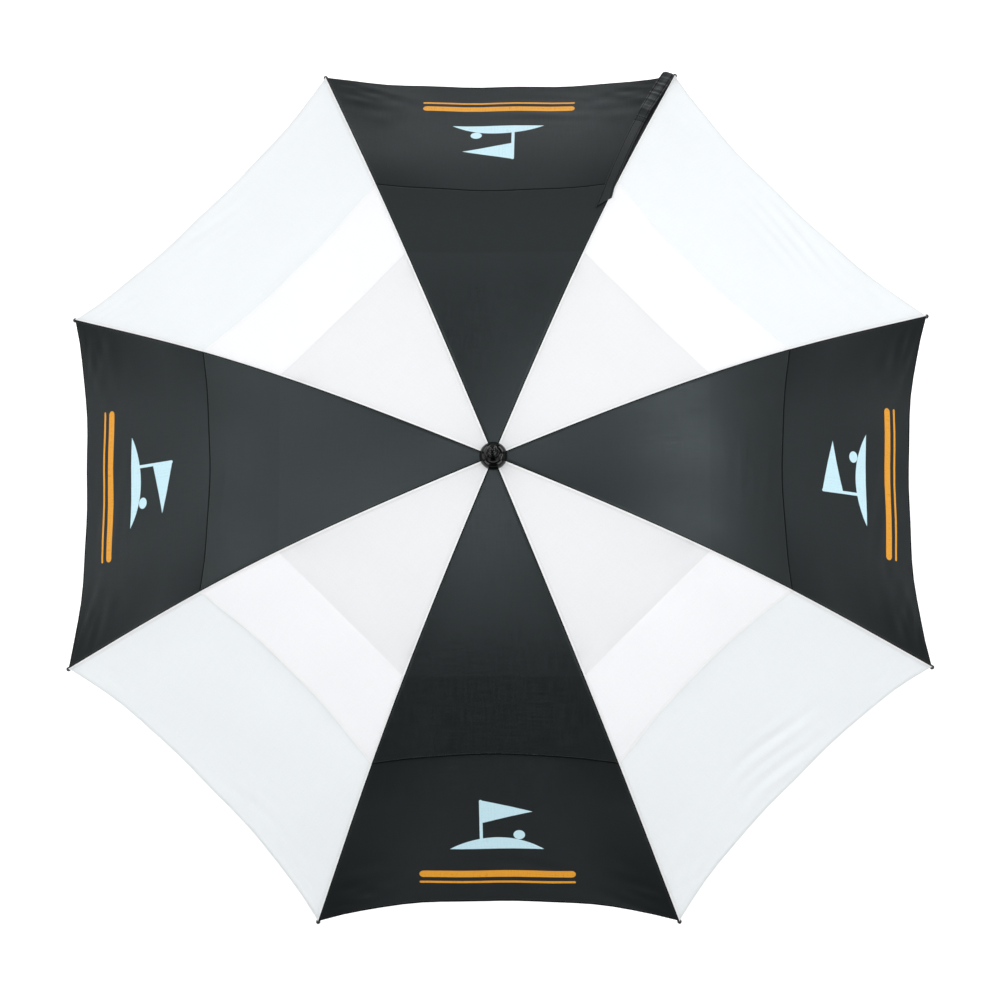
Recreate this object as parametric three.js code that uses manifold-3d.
// Vented golf umbrella, open. Millimetres, +Z up.
// The origin is on the shaft's axis at the middle of the hand grip.
// Black panels face +X, +Y, -X and -Y; the eight ribs run at 22.5 degrees and every 45 degrees after it.
import * as THREE from 'three';
import { mergeVertices } from 'three/addons/utils/BufferGeometryUtils.js';
import Module from 'manifold-3d';

const wasm = await Module();
wasm.setup();

// ---- driving dimensions ----
const RIBS = 8;
const FIRST_RIB_DEG = 22.5;
const RIB_STEP_DEG = 45;
const CANOPY_RADIUS = 680; // axis to a canopy corner
const CROWN_Z = 862; // outer face of the canopy on the axis
const DOME_HEIGHT = 281.5; // crown down to the corners
const DOME_SHAPE = [0.493, 1.052, -0.545]; // drop of a seam with r^2, r^4 and r^6
const GAP = 0.3; // between touching pieces

const CLOTH = 0.6; // thickness of a canopy solid
const LOWER_DEPTH = CLOTH + GAP; // the lower canopy hangs this far under the upper one
const SEAM_HALF_GAP = 0.2;
const UPPER_INNER = 8.6; // radius of the upper canopy's centre hole
const UPPER_HEM = 0.670; // hem on a seam, as a share of the canopy radius
const UPPER_HEM_BOW = 0.020; // how much further in the hem is at mid-panel
const LOWER_INNER = 0.485; // inner edge of the lower canopy
const VENT_DEPTH = 8; // the lower canopy's extra drop at mid-panel under the hem
const EDGE_BOW = 0.035; // inward scallop of the outer edge at mid-panel
const PANEL_COLUMNS = 4;
const UPPER_SHARES = [UPPER_INNER / CANOPY_RADIUS, 0.12, 0.22, 0.31, 0.4]; // rows of the upper canopy alone
const OVERLAP_SHARES = [LOWER_INNER, 0.55, 0.61]; // rows of both layers, up to the hem
const OUTER_SHARES = [0.75, 0.83, 0.91]; // rows of the lower canopy outside the hem

const RIB_DEPTH = 4.5; // rib centre line under the canopy's outer face
const RIB_RADIUS = 2;
const RIB_SIDES = 6;
const RIB_STEPS = 18; // stations along the rod
const RIB_ROD_START = 20; // radius where the flat eye turns into the round rod
const RIB_ROD_END = 0.994;
const RIB_PIVOT_RADIUS = 12;
const EYE_RADIUS = 2.2;
const EYE_THICKNESS = 2.4;
const EYE_HOLE = 0.95;
const EYE_BAR_INSET = 0.15; // the flat bar beside an eye is this much slimmer
const EYE_SIDES = 8;
const RING_RADIUS = 0.6; // wire that the eyes hang on
const RING_STEPS = 24;
const RING_SIDES = 5;

const TIP_START = 0.984;
const TIP_RADIUS = 2.7;
const TIP_BALL_RADIUS = 3.4;
const TIP_OVERHANG = 12; // how far the tip passes the rib's end
const TIP_SOCKET = 2.3;
const TIP_BALL_PROFILE = [[TIP_RADIUS, -2.6], [TIP_BALL_RADIUS, -0.6], [TIP_BALL_RADIUS, 1.2], [2.2, 3.0],
  [0, TIP_BALL_RADIUS]]; // radius, distance past the ball's centre
const TIP_SIDES = 8;

const JOINT_AT = 0.44; // rib joint, as a share of the canopy radius
const JOINT_DROP = 6.4; // rib centre line to the stretcher's pin
const SADDLE_LENGTH = 15;
const SADDLE_HALF_WIDTH = 3.2;
const SADDLE_TOP = 1.3;
const SADDLE_BOTTOM = -9;
const SADDLE_CHANNEL = 2.3; // half its width
const SADDLE_FLOOR = -3;
const PIN_RADIUS = 1.0;
const PIN_HALF_LENGTH = 5.6;

const RUNNER_PIVOT_Z = 640;
const RUNNER_PIVOT_RADIUS = 13;
const STRETCHER_RADIUS = 2;
const STRETCHER_SIDES = 6;
const FORK_LENGTH = 34; // pin to the fork's root
const FORK_INNER = 3.6;
const FORK_OUTER = 5.0;
const FORK_HALF_HEIGHT = 2.7; // at the pin
const FORK_BAR_HALF_HEIGHT = 1.9;
const FORK_BRIDGE = [-4, 2]; // the bridge, from the fork's root
const STRETCHER_EYE_LENGTH = 10;

const SHAFT_RADIUS = 7;
const SHAFT_BORE = 5.9;
const SHAFT_BOTTOM = -80;
const SHAFT_TOP = 880;
const SHAFT_SIDES = 24;

const NOTCH_RADIUS = 15;
const NOTCH_TOP = 861;
const NOTCH_FLANGE = 8.2; // height of the slotted part
const NOTCH_HUB_RADIUS = 10.2;
const NOTCH_BOTTOM = 834;
const NOTCH_FOOT = 1.5; // bevel at its lower end
const NOTCH_SLOPE = 2;
const NOTCH_SLOT_BELOW = 4; // the slots run this far under the flange
const SLIDING_BORE = 7.3;
const SLOT_WIDTH = 3.2;
const SLOT_FLOOR = 9.3;

const RUNNER_BORE = 7.45;
const RUNNER_SLEEVE = 10.4;
const RUNNER_FLANGE = 16;
const RUNNER_FLANGE_UP = 4.2;
const RUNNER_FLANGE_DOWN = 5.5;
const RUNNER_LENGTH = 66; // pivot ring to the bottom edge
const RUNNER_SLOT_FLOOR = 10.2;
const RUNNER_SLOT_LEDGE = 1.2; // what is left under the slots
const RUNNER_LIP = 2; // how far the lip at the bottom edge stands out
const RUNNER_LIP_HEIGHT = 5;
const RUNNER_GRIP_RADIUS = 13;
const RUNNER_GRIP_FROM = 42; // finger ring, above the bottom edge
const RUNNER_SLOPE = 5; // height of the slope up to the finger ring
const RUNNER_NECK = 6; // finger ring to the flange
const WINDOW_WIDTH = 6;
const WINDOW_FROM = 17; // above the runner's bottom edge
const WINDOW_TO = 57;

const CATCH_WIDTH = 3.4;
const CATCH_NOSE = 14; // length of the nose along the shaft
const CATCH_OUT = 9.8; // radius that the nose reaches
const CATCH_FLAT = 2.5; // flat part of the nose at its steep end
const CATCH_LEG = 46; // leg inside the tube, from the nose's near end to its pivot
const CATCH_LEG_RADIUS = 4.9;
const CATCH_LEG_THICKNESS = 1.0;
const CATCH_SLOT_MARGIN = 1.0;
const CATCH_SLOT_WIDTH = 4.4;
const CUT_IN = 1; // how far a cut starts inside the wall it goes through
const RUNNER_TRAVEL = 384.35; // open down to closed, for placing the bottom catch
const CATCH_AZIMUTH_DEG = 0;

const CAP_LIFT = 0.4; // above the canopy
const CAP_BORE_TOP = 881;
const CAP_PROFILE = [[18.4, 0], [19.6, 1.2], [19.6, 3.4], [18.5, 6.4], [15.4, 10], [11.2, 12.6], [9.2, 14.6],
  [8.5, 17.4], [8.3, 21.5]]; // radius, height above its base
const SPIKE_TOP = 917;
const SPIKE_PROFILE = [[7.0, 6.5], [6.2, 3.2], [4.2, 0.9], [0, 0]]; // radius, depth under its top
const CAP_SIDES = 24;
const FITTING_SIDES = 20; // notch and runner

const GRIP_TOP = 82;
const GRIP_BOTTOM = -82;
const GRIP_PROFILE = [[15.5, GRIP_BOTTOM], [17.6, -79], [18.6, -60], [18.2, -30], [17.2, 0], [17.6, 30],
  [17.4, 55], [15.6, 74], [14.2, GRIP_TOP]]; // radius, height
const GRIP_SIDES = 20;
const END_CAP_BOTTOM = -90;
const END_CAP_PROFILE = [[15.2, 0], [17.2, 1.6], [17.4, 7]]; // radius, height above its bottom
const END_CAP_TOP_RADIUS = 16.9;
const END_CAP_PLUG_TOP = -60; // its plug inside the shaft
const COLLAR_TOP = 94;
const COLLAR_PROFILE = [[15.4, 83.6], [13, 88], [10.4, COLLAR_TOP]]; // radius, height
const COLLAR_FOOT_RADIUS = 15;

const STRAP_WIDTH = 16;
const STRAP_THICKNESS = 1.2;
const STRAP_END = 0.605; // inner end, as a share of the canopy radius
const STRAP_START = 0.985;
const STRAP_LIFT = 0.6; // above the canopy
const STRAP_RIB = 1; // the rib at 67.5 degrees
const STRAP_ROWS = 7;
const STRAP_COLUMNS = 3;
const STRAP_SIDE_IN = -5.5; // its edge beside the seam at the inner end
const STRAP_SIDE_OUT = 1; // and at the rim
const STRAP_RIDGE = 3; // how softly it bends over the seam

// ---- materials ----
const material = (name, hex, roughness, metalness = 0) => {
  const made = new THREE.MeshStandardMaterial({ color: hex, roughness, metalness });
  made.name = name;
  return made;
};
const BLACK_CLOTH = 0x363b3c;
const WHITE_CLOTH = 0xeff3f5;
const BLACK_PLASTIC = 0x0c0c0d;
const STEEL = 0xb4b6b8;
const FIBREGLASS = 0x1b1b1c;
const GRIP_FOAM = 0x1d1e1f;

// ---- frames and solids ----
const deg = THREE.MathUtils.degToRad;
const ribAngle = (k) => deg(FIRST_RIB_DEG + RIB_STEP_DEG * k);

// A seam's height at radius r, and its outward normal in the rib's own plane.
const seamHeight = (r) => {
  const q = (r / CANOPY_RADIUS) ** 2;
  return CROWN_Z - DOME_HEIGHT * (DOME_SHAPE[0] * q + DOME_SHAPE[1] * q * q + DOME_SHAPE[2] * q ** 3);
};
const seamSlope = (r) => {
  const h = 0.01;
  return (seamHeight(r + h) - seamHeight(r - h)) / (2 * h);
};
// The point at a depth under the canopy's outer face, in the rib's plane: (radius, height).
const underSeam = (share, depth) => {
  const r = share * CANOPY_RADIUS;
  const slope = seamSlope(r);
  const size = Math.hypot(slope, 1);
  return new THREE.Vector2(r + (slope / size) * depth, seamHeight(r) - depth / size);
};

const geometryOf = (corners, faces) => {
  const geometry = new THREE.BufferGeometry();
  geometry.setAttribute('position', new THREE.Float32BufferAttribute(corners.flatMap((p) => [p.x, p.y, p.z]), 3));
  geometry.setIndex(faces.flat());
  geometry.computeVertexNormals();
  return geometry;
};

// A closed solid between two grids of points: outer(i, j) and inner(i, j).
const slab = (rows, columns, outer, inner) => {
  const corners = [];
  for (const side of [outer, inner]) {
    for (let i = 0; i <= rows; i += 1) {
      for (let j = 0; j <= columns; j += 1) corners.push(side(i, j));
    }
  }
  const across = columns + 1;
  const layer = (rows + 1) * across;
  const at = (side, i, j) => side * layer + i * across + j;
  const faces = [];
  const quad = (a, b, c, d) => faces.push([a, b, c], [a, c, d]);
  for (let i = 0; i < rows; i += 1) {
    for (let j = 0; j < columns; j += 1) {
      quad(at(0, i, j), at(0, i + 1, j), at(0, i + 1, j + 1), at(0, i, j + 1));
      quad(at(1, i, j), at(1, i, j + 1), at(1, i + 1, j + 1), at(1, i + 1, j));
    }
    quad(at(0, i, 0), at(1, i, 0), at(1, i + 1, 0), at(0, i + 1, 0));
    quad(at(0, i, columns), at(0, i + 1, columns), at(1, i + 1, columns), at(1, i, columns));
  }
  for (let j = 0; j < columns; j += 1) {
    quad(at(0, 0, j), at(0, 0, j + 1), at(1, 0, j + 1), at(1, 0, j));
    quad(at(0, rows, j), at(1, rows, j), at(1, rows, j + 1), at(0, rows, j + 1));
  }
  return geometryOf(corners, faces);
};

const solidOf = (geometry) => {
  const bare = geometry.index ? geometry.clone() : geometry;
  bare.deleteAttribute('normal');
  bare.deleteAttribute('uv');
  const merged = mergeVertices(bare, 1e-4);
  return new wasm.Manifold(new wasm.Mesh({
    numProp: 3,
    vertProperties: new Float32Array(merged.attributes.position.array),
    triVerts: new Uint32Array(merged.index.array),
  }));
};
const geometryFrom = (solid) => {
  const mesh = solid.getMesh();
  const geometry = new THREE.BufferGeometry();
  geometry.setAttribute('position', new THREE.BufferAttribute(new Float32Array(mesh.vertProperties), 3));
  geometry.setIndex(new THREE.BufferAttribute(new Uint32Array(mesh.triVerts), 1));
  geometry.computeVertexNormals();
  return geometry;
};

// A body of revolution about Z from (radius, height) pairs, listed upwards from the axis to the axis
// or as a closed loop.
const turned = (pairs, sides) => {
  const geometry = new THREE.LatheGeometry(pairs.map(([r, z]) => new THREE.Vector2(r, z)), sides);
  return geometry.rotateX(Math.PI / 2);
};
const box = (x, y, z, at) => new THREE.BoxGeometry(x, y, z).translate(at[0], at[1], at[2]);
const ringWire = (radius, z) => new THREE.TorusGeometry(radius, RING_RADIUS, RING_SIDES, RING_STEPS)
  .translate(0, 0, z);

// A cylinder across the rib's plane (along Y) at (x, z).
const crossPin = (radius, halfLength, sides, x, z) => new THREE.CylinderGeometry(
  radius, radius, 2 * halfLength, sides).translate(x, 0, z);

// A bar in the XZ plane from a to b, with its own half height and a span of y.
const bar = (a, b, halfHeight, yLow, yHigh) => {
  const along = new THREE.Vector2().subVectors(b, a);
  const made = new THREE.BoxGeometry(along.length(), yHigh - yLow, 2 * halfHeight);
  made.rotateY(-Math.atan2(along.y, along.x));
  return made.translate((a.x + b.x) / 2, (yLow + yHigh) / 2, (a.y + b.y) / 2);
};

const group = new THREE.Group();
const add = (name, geometry, mat, turn = 0) => {
  const mesh = new THREE.Mesh(geometry, mat);
  mesh.name = name;
  mesh.rotation.z = turn;
  group.add(mesh);
  return mesh;
};

const blackPlastic = material('black_plastic', BLACK_PLASTIC, 0.18);
const steel = material('steel', STEEL, 0.32, 1);
const fibreglass = material('fibreglass', FIBREGLASS, 0.38);
const gripFoam = material('grip_foam', GRIP_FOAM, 0.85);
const blackCloth = material('black_cloth', BLACK_CLOTH, 0.7);
const whiteCloth = material('white_cloth', WHITE_CLOTH, 0.75);

// ---- shaft, with a slot for each spring catch ----
const runnerBottom = RUNNER_PIVOT_Z - RUNNER_LENGTH;
const topNose = [runnerBottom - GAP - CATCH_NOSE, runnerBottom - GAP];
const closedBottom = runnerBottom - RUNNER_TRAVEL;
const bottomNose = [closedBottom + WINDOW_FROM + GAP, closedBottom + WINDOW_FROM + GAP + CATCH_NOSE];
const catchSlot = ([low, high]) => solidOf(box(
  SHAFT_RADIUS, CATCH_SLOT_WIDTH, high - low + 2 * CATCH_SLOT_MARGIN,
  [SHAFT_BORE + SHAFT_RADIUS / 2 - CUT_IN, 0, (low + high) / 2],
));
const tube = solidOf(turned([
  [SHAFT_BORE, SHAFT_BOTTOM], [SHAFT_RADIUS, SHAFT_BOTTOM],
  [SHAFT_RADIUS, SHAFT_TOP], [SHAFT_BORE, SHAFT_TOP], [SHAFT_BORE, SHAFT_BOTTOM],
], SHAFT_SIDES));
add('shaft', geometryFrom(tube.subtract(catchSlot(topNose)).subtract(catchSlot(bottomNose))), fibreglass);

// ---- spring catches: a leg inside the tube and a wedge nose through the slot ----
// The steep end of the nose holds the runner; the sloping end lets it ride over.
const springCatch = ([low, high], steepUp) => {
  const steep = steepUp ? high : low;
  const gentle = steepUp ? low : high;
  const legEnd = gentle + (steepUp ? -CATCH_LEG : CATCH_LEG);
  const inner = CATCH_LEG_RADIUS - CATCH_LEG_THICKNESS;
  const outline = [
    [inner, legEnd], [CATCH_LEG_RADIUS, legEnd], [CATCH_LEG_RADIUS, gentle],
    [CATCH_OUT, steep + (steepUp ? -CATCH_FLAT : CATCH_FLAT)], [CATCH_OUT, steep], [inner, steep],
  ];
  const shape = new THREE.Shape(outline.map(([x, z]) => new THREE.Vector2(x, z)));
  const made = new THREE.ExtrudeGeometry(shape, { depth: CATCH_WIDTH, bevelEnabled: false });
  return made.translate(0, 0, -CATCH_WIDTH / 2).rotateX(Math.PI / 2);
};
add('top_catch', springCatch(topNose, true), steel, deg(CATCH_AZIMUTH_DEG));
add('bottom_catch', springCatch(bottomNose, false), steel, deg(CATCH_AZIMUTH_DEG));

// ---- cap with its spike ----
const capBase = CROWN_Z + CAP_LIFT;
add('ferrule_cap', turned([
  [0, CAP_BORE_TOP], [SLIDING_BORE, CAP_BORE_TOP], [SLIDING_BORE, capBase],
  ...CAP_PROFILE.map(([r, height]) => [r, capBase + height]),
  ...SPIKE_PROFILE.map(([r, depth]) => [r, SPIKE_TOP - depth]),
], CAP_SIDES), blackPlastic);

// ---- top notch and its wire ----
const ribRoot = underSeam(RIB_PIVOT_RADIUS / CANOPY_RADIUS, RIB_DEPTH);
const RIB_PIVOT_Z = ribRoot.y;
const radialSlots = (floor, reach, low, high) => {
  let slots;
  for (let k = 0; k < RIBS; k += 1) {
    const cut = solidOf(box(reach - floor, SLOT_WIDTH, high - low, [(floor + reach) / 2, 0, (low + high) / 2])
      .rotateZ(ribAngle(k)));
    slots = slots ? slots.add(cut) : cut;
  }
  return slots;
};
const ringGroove = (radius, z) => solidOf(new THREE.TorusGeometry(radius, RING_RADIUS + GAP, RING_SIDES, RING_STEPS)
  .translate(0, 0, z));
const notchBlank = solidOf(turned([
  [SLIDING_BORE, NOTCH_BOTTOM], [NOTCH_HUB_RADIUS - 1, NOTCH_BOTTOM],
  [NOTCH_HUB_RADIUS, NOTCH_BOTTOM + NOTCH_FOOT],
  [NOTCH_HUB_RADIUS, NOTCH_TOP - NOTCH_FLANGE - NOTCH_SLOPE], [NOTCH_RADIUS, NOTCH_TOP - NOTCH_FLANGE],
  [NOTCH_RADIUS, NOTCH_TOP - 1], [NOTCH_RADIUS - 1, NOTCH_TOP], [SLIDING_BORE, NOTCH_TOP],
  [SLIDING_BORE, NOTCH_BOTTOM],
], FITTING_SIDES));
add('top_notch', geometryFrom(notchBlank
  .subtract(radialSlots(
    SLOT_FLOOR, 2 * NOTCH_RADIUS, NOTCH_TOP - NOTCH_FLANGE - NOTCH_SLOT_BELOW, NOTCH_TOP + CUT_IN))
  .subtract(ringGroove(RIB_PIVOT_RADIUS, RIB_PIVOT_Z))), blackPlastic);
add('top_notch_wire', ringWire(RIB_PIVOT_RADIUS, RIB_PIVOT_Z), steel);

// ---- runner and its wire ----
const flangeTop = RUNNER_PIVOT_Z + RUNNER_FLANGE_UP;
const flangeBottom = RUNNER_PIVOT_Z - RUNNER_FLANGE_DOWN;
const lipRadius = RUNNER_SLEEVE + RUNNER_LIP;
const runnerBlank = solidOf(turned([
  [RUNNER_BORE, runnerBottom], [lipRadius - 1, runnerBottom], [lipRadius, runnerBottom + 1],
  [lipRadius, runnerBottom + RUNNER_LIP_HEIGHT], [RUNNER_SLEEVE, runnerBottom + RUNNER_LIP_HEIGHT + RUNNER_LIP],
  [RUNNER_SLEEVE, runnerBottom + RUNNER_GRIP_FROM - RUNNER_SLOPE],
  [RUNNER_GRIP_RADIUS, runnerBottom + RUNNER_GRIP_FROM],
  [RUNNER_GRIP_RADIUS, flangeBottom - RUNNER_NECK], [lipRadius, flangeBottom - RUNNER_LIP],
  [RUNNER_FLANGE, flangeBottom], [RUNNER_FLANGE, flangeTop - 1], [RUNNER_FLANGE - 1, flangeTop],
  [RUNNER_BORE, flangeTop], [RUNNER_BORE, runnerBottom],
], FITTING_SIDES));
const windowCut = solidOf(box(
  RUNNER_FLANGE, WINDOW_WIDTH, WINDOW_TO - WINDOW_FROM,
  [RUNNER_FLANGE / 2 + SHAFT_BORE - CUT_IN, 0, runnerBottom + (WINDOW_FROM + WINDOW_TO) / 2],
));
add('runner', geometryFrom(runnerBlank
  .subtract(radialSlots(
    RUNNER_SLOT_FLOOR, 2 * RUNNER_FLANGE, flangeBottom + RUNNER_SLOT_LEDGE, flangeTop + CUT_IN))
  .subtract(ringGroove(RUNNER_PIVOT_RADIUS, RUNNER_PIVOT_Z))
  .subtract(windowCut)), blackPlastic);
add('runner_wire', ringWire(RUNNER_PIVOT_RADIUS, RUNNER_PIVOT_Z), steel);

// ---- ribs: a flat eye on the notch wire, then a curved round rod ----
const ribLine = (share) => underSeam(share, RIB_DEPTH);
const rodStart = RIB_ROD_START / CANOPY_RADIUS;
const rodBetween = (from, to, radius, sides, steps) => {
  const points = [];
  for (let i = 0; i <= steps; i += 1) {
    const p = ribLine(from + ((to - from) * i) / steps);
    points.push(new THREE.Vector3(p.x, 0, p.y));
  }
  const outline = new THREE.Shape();
  for (let i = 0; i < sides; i += 1) {
    const turn = (2 * Math.PI * (i + 0.5)) / sides;
    outline[i ? 'lineTo' : 'moveTo'](radius * Math.cos(turn), radius * Math.sin(turn));
  }
  outline.closePath();
  const path = new THREE.CatmullRomCurve3(points);
  return new THREE.ExtrudeGeometry(outline, { steps, extrudePath: path, bevelEnabled: false });
};
const eyeEnd = ribLine((RIB_ROD_START + RIB_RADIUS) / CANOPY_RADIUS);
const ribPivot = new THREE.Vector2(RIB_PIVOT_RADIUS, RIB_PIVOT_Z);
const ribSolid = solidOf(rodBetween(rodStart, RIB_ROD_END, RIB_RADIUS, RIB_SIDES, RIB_STEPS))
  .add(solidOf(bar(ribPivot, eyeEnd, EYE_RADIUS - EYE_BAR_INSET, -EYE_THICKNESS / 2, EYE_THICKNESS / 2)))
  .add(solidOf(crossPin(EYE_RADIUS, EYE_THICKNESS / 2, EYE_SIDES, RIB_PIVOT_RADIUS, RIB_PIVOT_Z)))
  .subtract(solidOf(crossPin(EYE_HOLE, EYE_THICKNESS, EYE_SIDES, RIB_PIVOT_RADIUS, RIB_PIVOT_Z)));
const ribGeometry = geometryFrom(ribSolid);

// ---- rib tips: a plastic cap on each rib's end, with a small ball ----
const tipFrom = ribLine(TIP_START);
const rodEnd = ribLine(RIB_ROD_END);
const tipAlong = new THREE.Vector2().subVectors(rodEnd, tipFrom).normalize();
const tipLength = new THREE.Vector2().subVectors(rodEnd, tipFrom).length();
const ballAt = tipLength + TIP_OVERHANG - TIP_BALL_RADIUS;
const tipGeometry = new THREE.LatheGeometry([
  [TIP_SOCKET, 0], [TIP_RADIUS, 0],
  ...TIP_BALL_PROFILE.map(([r, past]) => [r, ballAt + past]),
  [0, tipLength + GAP], [TIP_SOCKET, tipLength + GAP], [TIP_SOCKET, 0],
].map(([r, h]) => new THREE.Vector2(r, h)), TIP_SIDES)
  .rotateZ(-Math.PI / 2)
  .rotateY(-Math.atan2(tipAlong.y, tipAlong.x))
  .translate(tipFrom.x, 0, tipFrom.y);

// ---- rib joints: a saddle under the rib with a pin across it ----
const jointOn = ribLine(JOINT_AT);
const jointSlope = Math.atan(seamSlope(JOINT_AT * CANOPY_RADIUS));
const pinAt = ribLine(JOINT_AT).add(new THREE.Vector2(
  Math.sin(jointSlope) * JOINT_DROP, -Math.cos(jointSlope) * JOINT_DROP));
const saddleMid = (SADDLE_TOP + SADDLE_BOTTOM) / 2;
const saddleBlock = box(SADDLE_LENGTH, 2 * SADDLE_HALF_WIDTH, SADDLE_TOP - SADDLE_BOTTOM, [0, 0, saddleMid]);
const saddleChannel = box(
  2 * SADDLE_LENGTH, 2 * SADDLE_CHANNEL, SADDLE_TOP + 1 - SADDLE_FLOOR,
  [0, 0, (SADDLE_TOP + 1 + SADDLE_FLOOR) / 2],
);
const saddleSolid = solidOf(saddleBlock)
  .subtract(solidOf(saddleChannel))
  .add(solidOf(crossPin(PIN_RADIUS, PIN_HALF_LENGTH, EYE_SIDES, 0, -JOINT_DROP)));
const saddleGeometry = geometryFrom(saddleSolid)
  .rotateY(-jointSlope)
  .translate(jointOn.x, 0, jointOn.y);

// ---- stretchers: a flat eye on the runner wire, a round rod, and a fork over the rib joint's pin ----
const runnerPivot = new THREE.Vector2(RUNNER_PIVOT_RADIUS, RUNNER_PIVOT_Z);
const reach = new THREE.Vector2().subVectors(pinAt, runnerPivot);
const stretcherLength = reach.length();
const along = (distance) => runnerPivot.clone().add(reach.clone().normalize().multiplyScalar(distance));
const forkRoot = stretcherLength - FORK_LENGTH;
const rodSolid = solidOf(new THREE.CylinderGeometry(
  STRETCHER_RADIUS, STRETCHER_RADIUS, forkRoot - STRETCHER_EYE_LENGTH + STRETCHER_RADIUS, STRETCHER_SIDES)
  .rotateZ(-Math.PI / 2)
  .rotateY(-Math.atan2(reach.y, reach.x))
  .translate(along((forkRoot + STRETCHER_EYE_LENGTH) / 2).x, 0, along((forkRoot + STRETCHER_EYE_LENGTH) / 2).y));
const cheek = (side) => {
  const low = side > 0 ? FORK_INNER : -FORK_OUTER;
  const high = side > 0 ? FORK_OUTER : -FORK_INNER;
  const disc = crossPin(FORK_HALF_HEIGHT, (FORK_OUTER - FORK_INNER) / 2, EYE_SIDES, pinAt.x, pinAt.y)
    .translate(0, (low + high) / 2, 0);
  return solidOf(bar(along(forkRoot), pinAt, FORK_BAR_HALF_HEIGHT, low, high)).add(solidOf(disc));
};
const forkBridge = bar(
  along(forkRoot + FORK_BRIDGE[0]), along(forkRoot + FORK_BRIDGE[1]), FORK_BAR_HALF_HEIGHT, -FORK_OUTER, FORK_OUTER);
const stretcherSolid = rodSolid
  .add(solidOf(forkBridge))
  .add(cheek(1))
  .add(cheek(-1))
  .subtract(solidOf(crossPin(PIN_RADIUS + GAP, 2 * FORK_OUTER, EYE_SIDES, pinAt.x, pinAt.y)))
  .add(solidOf(bar(
    runnerPivot, along(STRETCHER_EYE_LENGTH + 1), EYE_RADIUS - EYE_BAR_INSET, -EYE_THICKNESS / 2, EYE_THICKNESS / 2)))
  .add(solidOf(crossPin(EYE_RADIUS, EYE_THICKNESS / 2, EYE_SIDES, RUNNER_PIVOT_RADIUS, RUNNER_PIVOT_Z)))
  .subtract(solidOf(crossPin(EYE_HOLE, EYE_THICKNESS, EYE_SIDES, RUNNER_PIVOT_RADIUS, RUNNER_PIVOT_Z)));
const stretcherGeometry = geometryFrom(stretcherSolid);

// ---- canopy panels, each spanning straight across from one seam to the next ----
// rows lists each row's place along the seam at u across the panel; depth is under the canopy's outer face.
// Both layers share their rows and columns where they overlap, so their facets stay parallel.
const panel = (rows, depth) => {
  const half = deg(RIB_STEP_DEG / 2);
  const point = (i, j, extra) => {
    const u = j / PANEL_COLUMNS;
    const s = rows[i](u);
    const p = underSeam(s, depth(s, u) + extra);
    const side = SEAM_HALF_GAP;
    const start = new THREE.Vector3(
      p.x * Math.cos(half) + side * Math.sin(half), -p.x * Math.sin(half) + side * Math.cos(half), p.y);
    const end = new THREE.Vector3(start.x, -start.y, p.y);
    return start.lerp(end, u);
  };
  return slab(rows.length - 1, PANEL_COLUMNS, (i, j) => point(i, j, 0), (i, j) => point(i, j, CLOTH));
};
const bow = (u) => 4 * u * (1 - u);
const row = (share, inward = 0) => (u) => share - inward * bow(u);
const overlapRows = [...OVERLAP_SHARES.map((share) => row(share)), row(UPPER_HEM, UPPER_HEM_BOW)];
const upperRows = [...UPPER_SHARES.map((share) => row(share)), ...overlapRows];
const lowerRows = [...overlapRows, ...OUTER_SHARES.map((share) => row(share)), row(1, EDGE_BOW)];
const upperGeometry = panel(upperRows, () => 0);
const ventDrop = (s) => {
  const t = THREE.MathUtils.clamp((s - UPPER_HEM) / (1 - UPPER_HEM), 0, 1);
  return VENT_DEPTH * (1 - t);
};
const lowerGeometry = panel(lowerRows, (s, u) => LOWER_DEPTH + ventDrop(s) * bow(u));

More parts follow.
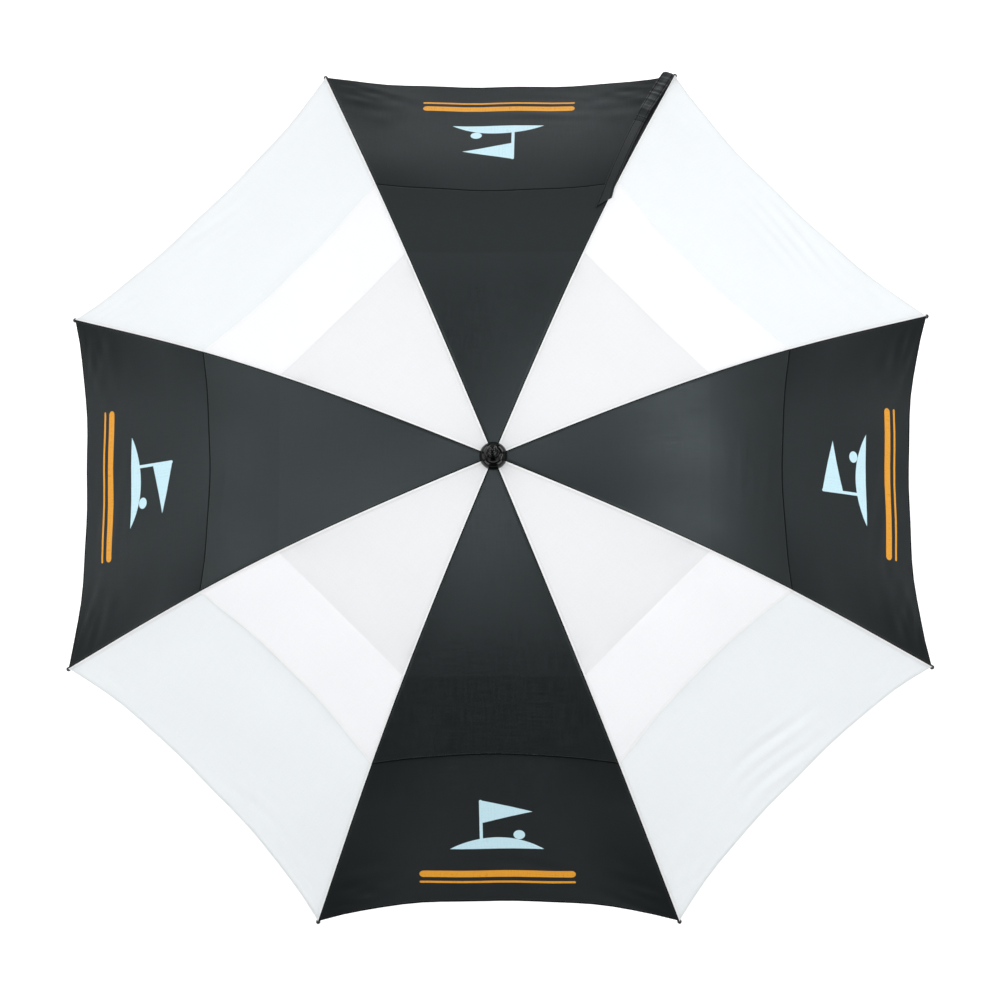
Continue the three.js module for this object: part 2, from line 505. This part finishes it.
for (let k = 0; k < RIBS; k += 1) {
  const turn = ribAngle(k);
  add(`rib_${k + 1}`, ribGeometry, fibreglass, turn);
  add(`rib_tip_${k + 1}`, tipGeometry, blackPlastic, turn);
  add(`rib_joint_${k + 1}`, saddleGeometry, blackPlastic, turn);
  add(`stretcher_${k + 1}`, stretcherGeometry, fibreglass, turn);
  const cloth = k % 2 ? blackCloth : whiteCloth;
  const middle = turn + deg(RIB_STEP_DEG / 2);
  add(`upper_panel_${k + 1}`, upperGeometry, cloth, middle);
  add(`lower_panel_${k + 1}`, lowerGeometry, cloth, middle);
}

// ---- tie strap, lying on the canopy along one seam ----
// Both panels fall away from the seam; the strap rounds that ridge off.
const strapPoint = (i, j, lift) => {
  const t = i / STRAP_ROWS;
  const s = STRAP_END + (STRAP_START - STRAP_END) * t;
  const low = STRAP_SIDE_IN + (STRAP_SIDE_OUT - STRAP_SIDE_IN) * t;
  const across = low + (STRAP_WIDTH * j) / STRAP_COLUMNS;
  const ridge = Math.hypot(across, STRAP_RIDGE) - STRAP_RIDGE;
  const x = s * CANOPY_RADIUS;
  const z = seamHeight(x + ridge * Math.tan(deg(RIB_STEP_DEG / 2)));
  return new THREE.Vector3(x, across, z + STRAP_LIFT + lift);
};
add('tie_strap', slab(
  STRAP_ROWS, STRAP_COLUMNS,
  (i, j) => strapPoint(i, j, STRAP_THICKNESS),
  (i, j) => strapPoint(i, j, 0),
), blackCloth, ribAngle(STRAP_RIB));

// ---- hand grip, its collar and its end cap ----
const gripBore = SHAFT_RADIUS + GAP;
add('handle_grip', turned([
  [gripBore, GRIP_BOTTOM], ...GRIP_PROFILE, [gripBore, GRIP_TOP], [gripBore, GRIP_BOTTOM],
], GRIP_SIDES), gripFoam);
add('handle_collar', turned([
  [gripBore, GRIP_TOP + GAP], [COLLAR_FOOT_RADIUS, GRIP_TOP + GAP], ...COLLAR_PROFILE,
  [gripBore, COLLAR_TOP], [gripBore, GRIP_TOP + GAP],
], GRIP_SIDES), blackPlastic);
const plugRadius = SHAFT_BORE - GAP;
add('handle_end_cap', turned([
  [0, END_CAP_BOTTOM], ...END_CAP_PROFILE.map(([r, height]) => [r, END_CAP_BOTTOM + height]),
  [END_CAP_TOP_RADIUS, GRIP_BOTTOM - GAP], [plugRadius, GRIP_BOTTOM - GAP],
  [plugRadius, END_CAP_PLUG_TOP], [0, END_CAP_PLUG_TOP],
], GRIP_SIDES), blackPlastic);

export default group;
